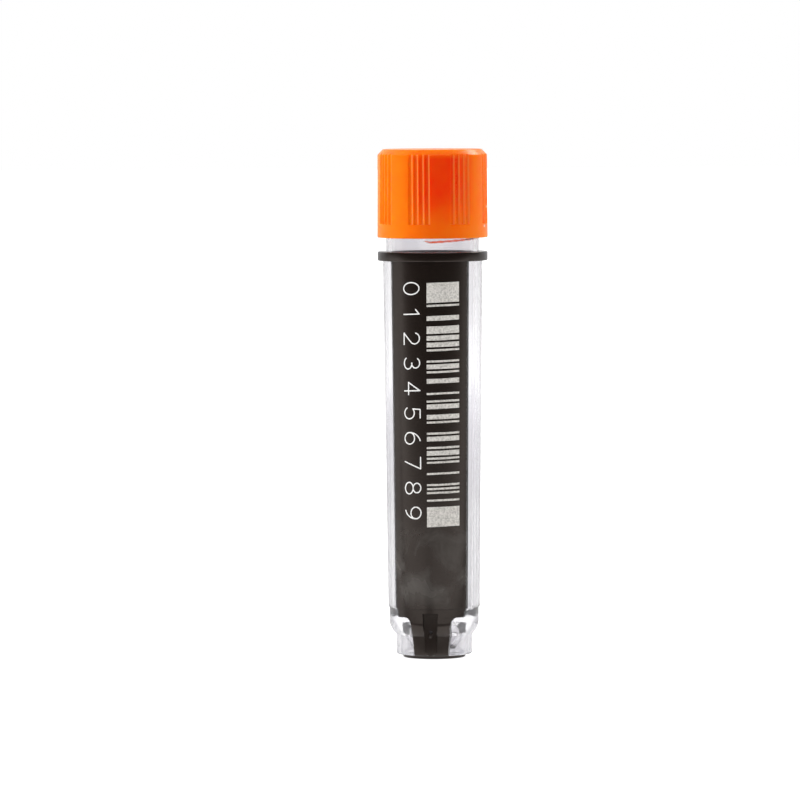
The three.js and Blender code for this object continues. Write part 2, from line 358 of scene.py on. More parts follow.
class Graph:
    """Adds nodes to a tree. An input takes a field or a plain value."""

    def __init__(self, tree):
        self.tree = tree

    def feed(self, socket, value):
        if isinstance(value, Field):
            self.tree.links.new(value.socket, socket)
        else:
            socket.default_value = (*value, 1.0) if socket.type == "RGBA" else value

    def add(self, kind, inputs=None, **settings):
        node = self.tree.nodes.new(kind)
        for key, value in settings.items():
            setattr(node, key, value)
        for key, value in (inputs or {}).items():
            self.feed(node.inputs[key], value)
        return node

    def get(self, kind, inputs=None, output=0, **settings):
        """Adds a node and returns one of its outputs."""
        return Field(self, self.add(kind, inputs, **settings).outputs[output])

    def math(self, operation, *values, clamp=False):
        inputs = dict(enumerate(values))
        return self.get("ShaderNodeMath", inputs, operation=operation, use_clamp=clamp)

    def most(self, first, *others):
        for other in others:
            first = self.math("MAXIMUM", first, other)
        return first

    def radius(self, x, y):
        return self.math("SQRT", x * x + y * y)

    def ramp(self, value, low, high, out_low=0.0, out_high=1.0, smooth=False):
        """Carries a value from one range to another and holds it at the ends."""
        inputs = dict(enumerate((value, low, high, out_low, out_high)))
        kind = "SMOOTHSTEP" if smooth else "LINEAR"
        return self.get("ShaderNodeMapRange", inputs, clamp=True, interpolation_type=kind)

    def band(self, value, rise, fall, level=1.0, before=0.0, after=0.0):
        """A level that is held from the end of one range to the start of another."""
        up = self.ramp(value, *rise, before, level)
        return self.math("MINIMUM", up, self.ramp(value, *fall, level, after))

    def mix(self, factor, a, b):
        """A blend of two colours."""
        node = self.add("ShaderNodeMix", data_type="RGBA")
        for key, value in (("Factor_Float", factor), ("A_Color", a), ("B_Color", b)):
            self.feed(next(s for s in node.inputs if s.identifier == key), value)
        return Field(self, next(s for s in node.outputs if s.identifier == "Result_Color"))

    def split(self, vector):
        node = self.add("ShaderNodeSeparateXYZ", {"Vector": vector})
        return [Field(self, socket) for socket in node.outputs]

    def combine(self, x, y, z):
        return self.get("ShaderNodeCombineXYZ", {"X": x, "Y": y, "Z": z})

    def place(self, scale=(1.0, 1.0, 1.0)):
        """Object coordinates, stretched."""
        place = self.get("ShaderNodeTexCoord", output="Object")
        return self.get("ShaderNodeMapping", {"Vector": place, "Scale": scale})

    def noise(self, place, scale, detail, distortion=0.0):
        return self.get("ShaderNodeTexNoise", {
            "Vector": place,
            "Scale": scale,
            "Detail": detail,
            "Distortion": distortion,
        })

    def ray(self, kind):
        """1 for rays of one kind."""
        return self.get("ShaderNodeLightPath", output=f"Is {kind} Ray")


class Group(Graph):
    """A node group with named inputs, which are numbers or kinds of socket, and one output."""

    def __init__(self, name, kind, inputs, output, output_socket):
        super().__init__(bpy.data.node_groups.new(name, kind))
        sockets = self.tree.interface
        for label, value in inputs.items():
            socket_kind = NUMBER_SOCKETS.get(type(value), value)
            socket = sockets.new_socket(name=label, in_out="INPUT", socket_type=socket_kind)
            if socket_kind != value:
                socket.default_value = value
        sockets.new_socket(name=output, in_out="OUTPUT", socket_type=output_socket)
        inward = self.add("NodeGroupInput")
        self.given = {label: Field(self, inward.outputs[label]) for label in inputs}
        self.outward = self.add("NodeGroupOutput").inputs[output]

    def give(self, value):
        """Feeds the output and returns the finished tree."""
        self.feed(self.outward, value)
        return self.tree


def geometry_group(name, inputs):
    everything = {"Geometry": GEOMETRY, **inputs}
    return Group(name, "GeometryNodeTree", everything, "Geometry", GEOMETRY)


def shader_group(name, inputs, output="Mask"):
    return Group(name, "ShaderNodeTree", inputs, output, NUMBER_SOCKETS[float])


def run_tree(piece, tree, values):
    """Runs a geometry tree on a piece, in the piece's material, and keeps the plain result."""
    values = {"Material": piece.data.materials[0], **values}
    modifier = piece.modifiers.new(tree.name, "NODES")
    modifier.node_group = tree
    for item in tree.interface.items_tree:
        if item.item_type == "SOCKET" and item.in_out == "INPUT" and item.name in values:
            modifier[item.identifier] = values[item.name]
    return made_plain(piece)


def dressed_tree(graph, geometry):
    """The last two steps of every geometry tree."""
    real = graph.get("GeometryNodeRealizeInstances", {"Geometry": geometry})
    return graph.give(graph.get("GeometryNodeSetMaterial", {
        "Geometry": real,
        "Material": graph.given["Material"],
    }))


def set_position(graph, geometry, place):
    return graph.get("GeometryNodeSetPosition", {"Geometry": geometry, "Position": place})


def polar(graph):
    """Each point's x, y, z, radius and azimuth."""
    x, y, z = graph.split(graph.get("GeometryNodeInputPosition"))
    return x, y, z, graph.radius(x, y), graph.math("ARCTAN2", x, -y)


def reshaped_tree(graph, x, y, z, radius, new_radius):
    """Ends a tree that moves each point straight in or out to its new radius."""
    scale = new_radius / radius
    place = graph.combine(x * scale, y * scale, z)
    return dressed_tree(graph, set_position(graph, graph.given["Geometry"], place))


def grip_tree():
    """Presses groups of upright grooves into a round wall."""
    graph = geometry_group("grip_grooves", {
        "Groups": 8.0,
        "Grooves": 4.0,
        "Pitch": 0.1,
        "Depth": 0.0002,
        "Cutter Radius": 0.0004,
        "Wall Radius": 0.008,
        "Azimuth": 0.0,
        "Foot": 0.0,
        "Foot Round": 0.0001,
        "Edge Round": 0.00003,
        "Material": MATERIAL,
    })
    given = graph.given
    x, y, z, radius, azimuth = polar(graph)
    half = 2 * math.pi / given["Groups"] / 2.0
    in_group = graph.math("WRAP", azimuth - given["Azimuth"], half, -half)
    last = given["Grooves"] - 1.0
    place = in_group / given["Pitch"] + last / 2.0
    nearest = graph.math("MINIMUM", graph.most(graph.math("ROUND", place), 0.0), last)
    aside = (place - nearest) * given["Pitch"] * given["Wall Radius"]
    cutter = given["Cutter Radius"]
    sagitta = graph.math("SQRT", graph.most(cutter * cutter - aside * aside, 0.0))
    floor = given["Wall Radius"] - given["Depth"] + cutter - sagitta
    end = given["Foot"] + given["Foot Round"]
    lifted = graph.ramp(z, given["Foot"], end, 1.0, 0.0, smooth=True)
    floor = floor + lifted * given["Depth"]
    cut = graph.math("SMOOTH_MIN", radius, floor, given["Edge Round"])
    return reshaped_tree(graph, x, y, z, radius, cut)


def thread_tree():
    """Raises a helical rib on a round wall, outwards with Side 1 and inwards with -1."""
    graph = geometry_group("screw_thread", {
        "Side": 1.0,
        "Wall Radius": 0.007,
        "Azimuth": 0.0,
        "Start": 0.0,
        "Lead": 0.003,
        "Turns": 2.0,
        "Height": 0.0005,
        "Root Width": 0.001,
        "Crest Width": 0.0005,
        "Rise Turns": 0.09,
        "Point Turns": 0.03,
        "Material": MATERIAL,
    })
    given = graph.given
    least_point, wall_margin = 0.001, 0.1 * MM
    x, y, z, radius, azimuth = polar(graph)
    circle = 2 * math.pi
    part = graph.math("WRAP", azimuth - given["Azimuth"], circle, 0.0) / circle
    climbed = (z - given["Start"]) / given["Lead"]
    turn = part + graph.math("ROUND", climbed - part)
    aside = graph.math("ABSOLUTE", climbed - turn) * given["Lead"]
    nearer_end = graph.math("MINIMUM", turn, given["Turns"] - turn)
    rise = graph.ramp(nearer_end, 0.0, given["Rise Turns"], smooth=True)
    point = graph.most(graph.ramp(nearer_end, 0.0, given["Point Turns"]), least_point)
    crest, root = (given[key] / 2.0 * point for key in ("Crest Width", "Root Width"))
    flank = graph.ramp(aside, crest, root, 1.0, 0.0, smooth=True)
    on_wall = graph.math("COMPARE", radius, given["Wall Radius"], wall_margin)
    height = given["Height"] * rise * flank * given["Side"] * on_wall
    return reshaped_tree(graph, x, y, z, radius, radius + height)


def wrap_tree():
    """Bends a flat print, drawn in X and Z, round the tapered body."""
    graph = geometry_group("wrap_on_body", {
        "Azimuth": 0.0,
        "Slant": 0.0,
        "Foot Radius": 0.007,
        "Top Radius": 0.0075,
        "Foot Height": 0.0,
        "Top Height": 0.06,
    })
    given = graph.given
    x, y, z = graph.split(graph.get("GeometryNodeInputPosition"))
    height = z + x * given["Slant"]
    wall = graph.get("ShaderNodeMapRange", {
        "Value": height,
        "From Min": given["Foot Height"],
        "From Max": given["Top Height"],
        "To Min": given["Foot Radius"],
        "To Max": given["Top Radius"],
    }, clamp=False)
    azimuth = given["Azimuth"] + x / wall
    radius = wall - y
    across, ahead = graph.math("SINE", azimuth), graph.math("COSINE", azimuth)
    place = graph.combine(radius * across, radius * -ahead, height)
    return graph.give(set_position(graph, given["Geometry"], place))


BODY_TAPER = {
    "Foot Radius": BODY_FOOT_R + PROUD,
    "Top Radius": BODY_TOP_R + PROUD,
    "Foot Height": STEP_Z,
    "Top Height": FLANGE_LOW_Z,
}


def wrapped(graph, geometry, wrap):
    """Geometry bent round the body at the graph's own azimuth and slant."""
    course = {key: graph.given[key] for key in ("Azimuth", "Slant")}
    inputs = {"Geometry": geometry, **course, **BODY_TAPER}
    return graph.get("GeometryNodeGroup", inputs, node_tree=wrap)


def wrap_print_tree(wrap):
    """Bends a print that is already drawn flat."""
    graph = geometry_group("wrapped_print", {
        "Azimuth": 0.0,
        "Slant": 0.0,
        "Material": MATERIAL,
    })
    return dressed_tree(graph, wrapped(graph, graph.given["Geometry"], wrap))


def seeded_width(graph, seed, narrow, widest, lean):
    """A random width out of three. The more the lean, the more often it is narrow."""
    draw = graph.add("FunctionNodeRandomValue", {"Seed": seed}, data_type="FLOAT")
    value = Field(graph, next(s for s in draw.outputs if s.type == "VALUE"))
    step = graph.math("FLOOR", graph.math("POWER", value, lean) * 3.0)
    return narrow + step * ((widest - narrow) / 2.0)


def bars_tree(wrap):
    """A column of bars of seeded widths, with a solid block at each end, wrapped on the body."""
    graph = geometry_group("code_bars", {
        "Bars": 28,
        "Seed": 3,
        "Top": 0.057,
        "Foot": 0.02,
        "Span": 0.005,
        "Narrow": 0.0003,
        "Widest": 0.001,
        "Widest Gap": 0.001,
        "Block": 0.003,
        "Proud": 0.00001,
        "Depth": 0.00003,
        "Azimuth": 0.0,
        "Slant": 0.0,
        "Material": MATERIAL,
    })
    given = graph.given
    points = graph.get("GeometryNodePoints", {"Count": given["Bars"]})
    index = graph.get("GeometryNodeInputIndex")
    at_start = graph.math("COMPARE", index, 0.0, 0.5)
    at_end = graph.math("COMPARE", index, given["Bars"] - 1.0, 0.5)
    bar = seeded_width(graph, given["Seed"], given["Narrow"], given["Widest"], 3.0)
    gap = seeded_width(graph, given["Seed"] + 1.0, given["Narrow"], given["Widest Gap"], 1.4)
    gap = gap * (1.0 - at_start)
    width = bar + (at_start + at_end) * (given["Block"] - bar)
    running = graph.add("GeometryNodeAccumulateField", data_type="FLOAT")
    graph.feed(running.inputs[0], gap + width)
    before, total = (Field(graph, running.outputs[key]) for key in ("Trailing", "Total"))
    fit = (given["Top"] - given["Foot"]) / total
    height = given["Top"] - (before + gap + width / 2.0) * fit
    sunk = (given["Depth"] - given["Proud"]) / 2.0
    placed = set_position(graph, points, graph.combine(0.0, sunk, height))
    blank = graph.get("GeometryNodeMeshCube", {
        "Size": (1.0, 1.0, 1.0),
        "Vertices X": 20,
        "Vertices Y": 2,
        "Vertices Z": 2,
    })
    size = graph.combine(given["Span"], given["Depth"] + given["Proud"], width * fit)
    copies = graph.get("GeometryNodeInstanceOnPoints", {
        "Points": placed,
        "Instance": blank,
        "Scale": size,
    })
    flat = graph.get("GeometryNodeRealizeInstances", {"Geometry": copies})
    return dressed_tree(graph, wrapped(graph, flat, wrap))


# ================================ finishes ================================

WHITE = (1.0, 1.0, 1.0)
BLACK = (0.0, 0.0, 0.0)


def skin_group():
    """Moulded plastic: a fine grain and long shallow waves drawn out along the tube."""
    graph = shader_group("moulded_skin", {
        "Grain Scale": 4000.0,
        "Wave Scale": 500.0,
        "Grain": 0.5,
        "Waves": 0.5,
    }, "Height")
    given = graph.given
    drawn_out = graph.place((1.0, 1.0, 0.06))
    grain = graph.noise(graph.place(), given["Grain Scale"], 3.0)
    waves = graph.noise(drawn_out, given["Wave Scale"], 2.0)
    return graph.give(grain * given["Grain"] + waves * given["Waves"])


def dust_group():
    """Small stray specks, each a share of the cells of a random pattern."""
    graph = shader_group("dust_specks", {"Cell Scale": 600.0, "Size": 0.15, "Share": 0.1})
    given = graph.given
    pattern = {"Vector": graph.place(), "Scale": given["Cell Scale"]}
    cells = graph.add("ShaderNodeTexVoronoi", pattern)
    colour, distance = (Field(graph, cells.outputs[key]) for key in ("Color", "Distance"))
    drawn = graph.get("ShaderNodeSeparateColor", {"Color": colour})
    chosen = graph.math("LESS_THAN", drawn, given["Share"])
    return graph.give(chosen * graph.ramp(distance, given["Size"] * 0.6, given["Size"], 1.0, 0.0))


def smudge_group():
    """Cloudy handling marks, between a start and a height at which they have faded out."""
    graph = shader_group("handling_smudges", {
        "Scale": 300.0,
        "Start": -1.0,
        "Low": 0.0,
        "High": 0.02,
    })
    given = graph.given
    place = graph.place()
    cloud = graph.noise(place, given["Scale"], 4.0, distortion=0.7)
    z = graph.split(place)[2]
    fall = graph.ramp(z, given["Low"], given["High"], 1.0, 0.0, smooth=True)
    rise = graph.ramp(z, given["Start"], given["Start"] + 3 * MM, smooth=True)
    return graph.give(graph.ramp(cloud, 0.4, 0.82, smooth=True) * (fall * rise))


def painted_shade_group():
    """Painted shade: a deeper colour painted on the side that faces the azimuth, and more faintly
    to its right. It weakens towards the lower edge, where light from below is painted in, and
    ends just under the top.
    """
    graph = shader_group("gathered_pigment", {
        "Azimuth": 0.0,
        "Low": 0.0,
        "High": 0.01,
        "Top": 0.02,
        "Radius": 0.0083,
    })
    given = graph.given
    x, y, z = graph.split(graph.place())
    sine, cosine = (graph.math(kind, given["Azimuth"]) for kind in ("SINE", "COSINE"))
    ahead = (x * sine - y * cosine) / given["Radius"]
    right = (x * cosine + y * sine) / given["Radius"]
    patch = graph.ramp(ahead, 0.68, 1.0, smooth=True)
    facing = graph.most(patch, graph.ramp(right, 0.3, 0.85, 0.0, 0.36))
    # painted light from below: the painted shade weakens towards the lower edge
    above = graph.ramp(z, given["Low"], given["High"], 0.25, 1.0, smooth=True)
    below = graph.ramp(z, given["Top"] - 1.2 * MM, given["Top"], 1.0, 0.0)
    cloud = graph.noise(graph.place(), 220.0, 2.0)
    return graph.give(facing * (above * below) * graph.ramp(cloud, 0.2, 0.8, 0.75, 1.0))


def painted_flank_highlight_group():
    """Painted highlight: pale colour on the groove flanks that lean against the turn, in place of
    the light they catch.
    """
    graph = shader_group("groove_flanks", {"Slight": 0.15, "Steep": 0.45})
    x, y, _ = graph.split(graph.place())
    normal = graph.get("ShaderNodeNewGeometry", output="Normal")
    lean = graph.get(
        "ShaderNodeVectorTransform", {"Vector": normal},
        vector_type="NORMAL", convert_from="WORLD", convert_to="OBJECT",
    )
    lean_x, lean_y, _ = graph.split(lean)
    share = (lean_x * y - lean_y * x) / graph.radius(x, y)
    return graph.give(graph.ramp(share, graph.given["Slight"], graph.given["Steep"]))


def hatch_group():
    """The fine crossing passes of a laser marker."""
    graph = shader_group("laser_hatch", {"Line Scale": 1900.0, "Mottle Scale": 3600.0})
    lines = graph.get("ShaderNodeTexWave", {
        "Vector": graph.place((0.35, 0.35, 1.0)),
        "Scale": graph.given["Line Scale"],
        "Distortion": 3.0,
        "Detail": 2.0,
        "Detail Scale": 0.4,
    }, output=1, bands_direction="Z")
    mottle = graph.noise(graph.place(), graph.given["Mottle Scale"], 4.0)
    return graph.give(graph.ramp(lines * 0.3 + mottle * 0.7, 0.3, 0.62))


SKIN = skin_group()
DUST = dust_group()
SMUDGES = smudge_group()
HATCH = hatch_group()
PAINTED_SHADE = painted_shade_group()
FLANK_HIGHLIGHT = painted_flank_highlight_group()


class Finish(Graph):
    """A material with its Principled shader. Constants are set straight on its sockets."""

    def __init__(self, name, **constants):
        self.material = bpy.data.materials.new(name)
        self.material.use_nodes = True
        super().__init__(self.material.node_tree)
        self.shader = self.tree.nodes["Principled BSDF"]
        self.coat(**constants)

    def coat(self, **inputs):
        """Feeds the shader's sockets and returns the material."""
        for key, value in inputs.items():
            self.feed(self.shader.inputs[key.replace("_", " ")], value)
        return self.material

    def effect(self, tree, **values):
        node = self.add("ShaderNodeGroup", node_tree=tree)
        for key, value in values.items():
            node.inputs[key.replace("_", " ")].default_value = value
        return Field(self, node.outputs[0])

    def bump(self, height, strength, distance):
        """Feeds a height to the normal and returns it."""
        self.coat(Normal=self.get("ShaderNodeBump", {
            "Strength": strength,
            "Distance": distance,
            "Height": height,
        }))
        return height

    def skin(self, strength, **values):
        return self.bump(self.effect(SKIN, **values), strength, 0.02 * MM)


def clear_plastic():
    finish = Finish(
        "clear_plastic",
        Base_Color=(0.905, 0.897, 0.912),
        IOR=1.49,
        Transmission_Weight=0.94,
    )
    finish.skin(0.015, Grain=0.15, Waves=1.0, Wave_Scale=900.0)
    smudge = finish.effect(SMUDGES, Scale=500.0, Low=0.0, High=0.09)
    return finish.coat(Roughness=finish.ramp(smudge, 0.0, 1.0, 0.02, 0.07))


def black_plastic():
    finish = Finish("black_plastic", Specular_Tint=(1.0, 0.87, 0.79))
    finish.skin(0.25, Grain=0.6, Waves=0.6, Wave_Scale=260.0)
    smudge = finish.effect(SMUDGES, Scale=190.0, Start=7 * MM, Low=14 * MM, High=24 * MM)
    dust = finish.effect(DUST, Cell_Scale=420.0, Size=0.06, Share=0.02)
    plain = finish.mix(smudge, (0.007, 0.004, 0.003), (0.088, 0.083, 0.077))
    return finish.coat(
        Base_Color=finish.mix(dust, plain, (0.35, 0.34, 0.32)),
        Roughness=finish.ramp(smudge, 0.0, 1.0, 0.2, 0.34),
    )


def orange_plastic():
    """Translucent orange, with painted shade and painted highlights in its colour. Its inner face
    has a painted glow where it is seen through the clear neck, in place of light passing through
    the wall.
    """
    finish = Finish(
        "orange_plastic",
        Subsurface_Weight=1.0,
        Subsurface_Radius=(1.0, 0.28, 0.05),
        Subsurface_Scale=0.9 * MM,
        IOR=1.49,
        Specular_IOR_Level=0.16,
        Emission_Strength=0.6,
    )
    tone = finish.skin(0.2, Grain=0.7, Waves=0.4, Wave_Scale=300.0)
    dust = finish.effect(DUST, Cell_Scale=380.0, Size=0.1, Share=0.09)
    # painted shade: the cap's front and right are painted a deeper red, lighter low down
    painted_shade_mask = finish.effect(
        PAINTED_SHADE, Azimuth=11 * DEGREE, Low=64.5 * MM, High=71.0 * MM, Top=77.0 * MM
    )
    shaded_orange = finish.mix(painted_shade_mask, (0.97, 0.205, 0.003), (0.92, 0.022, 0.001))
    # painted highlight: pale orange painted on the groove flanks that lean one way
    highlighted = finish.mix(finish.effect(FLANK_HIGHLIGHT) * 0.75, shaded_orange, (1.0, 0.25, 0.055))
    return finish.coat(
        Base_Color=finish.mix(dust, highlighted, (1.0, 0.72, 0.5)),
        Roughness=finish.ramp(tone, 0.2, 0.9, 0.24, 0.34),
        # painted glow: emission only on rays through the clear, standing in for light passed
        # through the orange wall
        Emission_Color=finish.mix(finish.ray("Transmission"), BLACK, (1.0, 0.12, 0.02)),
    )


def pale_silicone():
    finish = Finish("pale_silicone", Subsurface_Weight=0.4, Subsurface_Scale=0.6 * MM)
    tone = finish.skin(0.3, Grain=1.0, Waves=0.2)
    return finish.coat(
        Base_Color=finish.mix(tone, (0.66, 0.64, 0.60), (0.80, 0.78, 0.74)),
        Roughness=finish.ramp(tone, 0.0, 1.0, 0.5, 0.7),
    )


def laser_mark(name, dark, light):
    finish = Finish(name, Specular_IOR_Level=0.3)
    hatch = finish.bump(finish.effect(HATCH), 0.3, 0.01 * MM)
    return finish.coat(
        Base_Color=finish.mix(hatch, dark, light),
        Roughness=finish.ramp(hatch, 0.0, 1.0, 0.75, 0.55),
    )


# ================================ vessel ================================


def shell_radius(z):
    """The tube's outer radius at a height between the rim and the flange."""
    if z < RIM_Z + RIM_ROUND:
        part = 1 - (z - RIM_Z) / RIM_ROUND
        return SKIRT_R - RIM_ROUND + RIM_ROUND * math.sqrt(max(0.0, 1 - part * part))
    if z <= LEDGE_LOW_Z:
        return SKIRT_R
    if z < LEDGE_HIGH_Z:
        part = 1 - (z - LEDGE_LOW_Z) / LEDGE_HEIGHT
        return SKIRT_R + (COLLAR_R - SKIRT_R) * (1 - part * part)
    if z < STEP_Z - EDGE_ROUND / 4:
        return COLLAR_R
    if z < STEP_Z + EDGE_ROUND / 4:
        part = (z - STEP_Z) / (EDGE_ROUND / 2) + 0.5
        return COLLAR_R + (BODY_FOOT_R - COLLAR_R) * part * part * (3 - 2 * part)
    return BODY_FOOT_R + (BODY_TOP_R - BODY_FOOT_R) * (z - STEP_Z) / (FLANGE_LOW_Z - STEP_Z)


def quarter_rows(low, height, steps):
    """Heights up a rounded edge that faces down."""
    return [low + height * (1 - math.cos(math.pi / 2 * i / steps)) for i in range(steps + 1)]


def shell_rows():
    """The heights at which the tube's outer surface is drawn."""
    step = [STEP_Z + EDGE_ROUND / 4 * part for part in np.linspace(-1, 1, EDGE_STEPS)]
    return [
        *quarter_rows(RIM_Z, RIM_ROUND, 8),
        *np.linspace(RIM_Z + RIM_ROUND, LEDGE_LOW_Z, 6)[1:-1],
        *np.linspace(LEDGE_LOW_Z, LEDGE_HIGH_Z, 16),
        *np.linspace(LEDGE_HIGH_Z, STEP_Z - EDGE_ROUND / 4, 6)[1:-1],
        *step,
        *np.linspace(STEP_Z + EDGE_ROUND / 4, FLANGE_LOW_Z, 28)[1:],
    ]


def vessel_outline():
    thread_low_z = NECK_THREAD_Z - THREAD_ROOT
    thread_high_z = thread_low_z + THREAD_LEAD * NECK_TURNS + 2 * THREAD_ROOT
    inside = trace([
        Corner(NECK_R, FLANGE_MID_Z),
        Corner(NECK_R, thread_low_z, step=NECK_ROW),
        Corner(NECK_R, thread_high_z),
        Corner(NECK_R, MOUTH_Z, round=EDGE_ROUND),
        Corner(MOUTH_R, MOUTH_Z, round=EDGE_ROUND),
        Corner(BODY_TOP_R - BODY_WALL, FLANGE_LOW_Z, round=BORE_ROUND, step=3 * MM),
        Corner(BODY_FOOT_R - BODY_WALL, CONE_TOP_Z, round=CONE_ROUND, step=0.5 * MM),
        Corner(CONE_FLOOR_R, CONE_FLOOR_Z, round=CONE_FLOOR_ROUND),
        Corner(0, CONE_FLOOR_Z),
    ])
    stem_z = DISC_THICKNESS - STEM_SINK
    hollow = trace([
        Corner(0, stem_z),
        Corner(STEM_R, stem_z),
        Corner(STEM_R, STEM_TOP_Z, round=STEM_ROUND, step=0.2 * MM),
        Corner(HOLLOW_R, HOLLOW_TOP_Z, round=HOLLOW_ROUND),
        Corner(HOLLOW_R, RIM_Z, round=EDGE_ROUND),
        Corner(shell_radius(RIM_Z), RIM_Z),
    ])
    outside = [(shell_radius(z), z) for z in shell_rows()[1:]]
    return [*hollow, *outside, (BODY_TOP_R, FLANGE_MID_Z), *inside]


def land_half_width(z):
    """Half the width of the gate land at a height, with a round lower end."""
    if z < LAND_FOOT_Z:
        drop = LAND_FOOT_Z - z
        return math.sqrt(max(0.0, LAND_FOOT_HALF ** 2 - drop ** 2))
    part = (z - LAND_FOOT_Z) / (LAND_TOP_Z - LAND_FOOT_Z)
    return LAND_FOOT_HALF + (LAND_TOP_HALF - LAND_FOOT_HALF) * part


def let_in_behind_land(piece):
    """Sets the clear surface back, so that it stays just behind the flat gate land."""
    seat_y = LAND_Y + LAND_COVER
    for vertex in piece.data.vertices:
        x, y, z = turned_by(vertex.co, -PANEL_AZIMUTH)
        beside = abs(x) - land_half_width(z)
        if y < seat_y and z < LAND_TOP_Z + LAND_MARGIN_UP and beside < LAND_MARGIN:
            vertex.co.xy *= seat_y / y


def clear_vessel(thread, material):
    piece = turned("clear_vessel", vessel_outline(), even_azimuths(COLUMNS), material)
    let_in_behind_land(piece)
    run_tree(piece, thread, {
        "Side": 1.0,
        "Wall Radius": NECK_R,
        "Start": NECK_THREAD_Z,
        "Turns": NECK_TURNS,
        **THREAD_FORM,
    })
    return smoothed(piece)


# ================================ jacket ================================


def sheet_half_width(z):
    """Half the width of the black sheet at a height, seen from straight in front."""
    if z >= STEP_Z:
        return shell_radius(z) * math.sin(PANEL_HALF_ANGLE)
    if z >= SHOULDER_Z:
        side = COLLAR_R * math.sin(PANEL_HALF_ANGLE)
        return side - SHOULDER_LEAN * (STEP_Z - z) / (STEP_Z - SHOULDER_Z)
    waist_z = SHOULDER_Z - SHOULDER_ROUND
    if z >= waist_z:
        part = 1 - math.sqrt((SHOULDER_Z - z) / SHOULDER_ROUND)
        return WAIST_HALF_WIDTH + SHOULDER_ROUND / 2 * part * part
    return FOOT_HALF_WIDTH + (WAIST_HALF_WIDTH - FOOT_HALF_WIDTH) * z / waist_z


def sheet_back_radius(z):
    """How far from the axis the black sheet's inner face lies."""
    if z >= LEDGE_HIGH_Z:
        return shell_radius(z) - PANEL_DEPTH
    if z <= LEDGE_LOW_Z:
        return WAIST_BACK_R
    part = (z - LEDGE_LOW_Z) / LEDGE_HEIGHT
    return WAIST_BACK_R + (COLLAR_R - PANEL_DEPTH - WAIST_BACK_R) * part


def land_distance(x, z):
    """How far a point lies outside the gate land's outline, less than 0 inside it."""
    if z < LAND_FOOT_Z:
        return math.hypot(x, z - LAND_FOOT_Z) - LAND_FOOT_HALF
    return max(abs(x) - land_half_width(z), z - LAND_TOP_Z)


def front_face(x, z):
    """The jacket's front surface: the tube's own curve, with the flat gate land let in."""
    r = shell_radius(z) + PROUD
    curve = -math.sqrt(r * r - x * x)
    part = min(1.0, max(0.0, 0.5 - land_distance(x, z) / LAND_EDGE))
    return curve + (LAND_Y - curve) * part * part * (3 - 2 * part)


def sheet_rows():
    """Heights of the black sheet's rows, close together where its outline turns."""
    land_end = LAND_FOOT_Z - LAND_FOOT_HALF
    rows = shell_rows()
    rows += [LAND_TOP_Z + LAND_EDGE * part for part in np.linspace(-1, 1, EDGE_STEPS)]
    rows += [LAND_FOOT_Z - LAND_FOOT_HALF * math.sin(a) for a in np.linspace(0, math.pi / 2, 14)]
    rows += [land_end - LAND_EDGE * part for part in (0.25, 0.5)]
    rows += [SHOULDER_Z - SHOULDER_ROUND * part * part for part in np.linspace(0, 1, 14)]
    rows += [SHOULDER_Z + 0.01 * MM, LEDGE_LOW_Z - 0.01 * MM]
    rows.sort()
    kept = [rows[0]]
    for z in rows[1:]:
        if z - kept[-1] > ROW_APART:
            kept.append(z)
    return kept


def sheet_columns(z):
    """Places across the sheet, close together at the two edges of the gate land."""
    side = sheet_half_width(z)
    land = land_half_width(min(z, LAND_TOP_Z))
    edge = [land + LAND_EDGE * part for part in np.linspace(-0.5, 0.5, 7)]
    middle = np.linspace(0, max(edge[0], 0.02 * MM), 7)[:-1]
    apart = 0.001 * MM
    edge_right = [max(x, middle[-1] + apart * i) for i, x in enumerate(edge, 1)]
    right = [*middle, *edge_right, *np.linspace(edge[-1], side, 24)[1:]]
    return [-x for x in reversed(right)] + right[1:]


def jacket_sheet(material):
    """The panel, its shoulders and the waist, in one sheet with its back and sides closed."""
    loops = []
    for z in sheet_rows():
        columns = sheet_columns(z)
        back_r = sheet_back_radius(z)
        front = [(x, front_face(x, z), z) for x in columns]
        back = [(x, -math.sqrt(back_r * back_r - x * x), z) for x in reversed(columns)]
        loops.append([turned_by(point, PANEL_AZIMUTH) for point in front + back])
    return lofted("black_jacket", loops, material)


def flange_ring(material):
    inner_r = BODY_TOP_R - PANEL_DEPTH
    outline = trace([
        Corner(inner_r, FLANGE_LOW_Z),
        Corner(FLANGE_R, FLANGE_LOW_Z, round=1.2 * EDGE_ROUND),
        Corner(FLANGE_R, FLANGE_TOP_Z, round=1.2 * EDGE_ROUND),
        Corner(inner_r, FLANGE_TOP_Z),
    ], closed=True)
    return turned("flange_ring", outline, even_azimuths(COLUMNS), material, closed=True)


def foot_disc(material):
    outline = trace([
        Corner(0, DISC_Z),
        Corner(DISC_R, DISC_Z, round=1.5 * EDGE_ROUND),
        Corner(DISC_R, DISC_THICKNESS),
        Corner(0, DISC_THICKNESS),
    ])
    return turned("foot_disc", outline, even_azimuths(COLUMNS), material)


def gate_stub(material):
    """The little bead left where the gate was broken off, leaning down at its tip."""
    loops = []
    for part in np.linspace(0, 1, 12):
        r = GATE_R * math.sqrt(max(0.02, 1 - part ** 3)) * (0.8 + 0.2 * math.cos(5 * part))
        y = LAND_Y + GATE_SINK - (GATE_LENGTH + GATE_SINK) * part
        sag = GATE_SAG * part * part
        loop = []
        for a in even_azimuths(STUB_COLUMNS):
            lump = 1 + GATE_LUMP * math.sin(3 * a + 4 * part)
            point = (r * lump * math.cos(a), y, GATE_Z - sag + 1.5 * r * lump * math.sin(a))
            loop.append(turned_by(point, PANEL_AZIMUTH))
        loops.append(loop)
    return lofted("gate_stub", loops, material)


def black_jacket(material):
    piece = jacket_sheet(material)
    fused(piece, flange_ring(material), foot_disc(material), gate_stub(material))
    return smoothed(piece)


# ================================ cap ================================


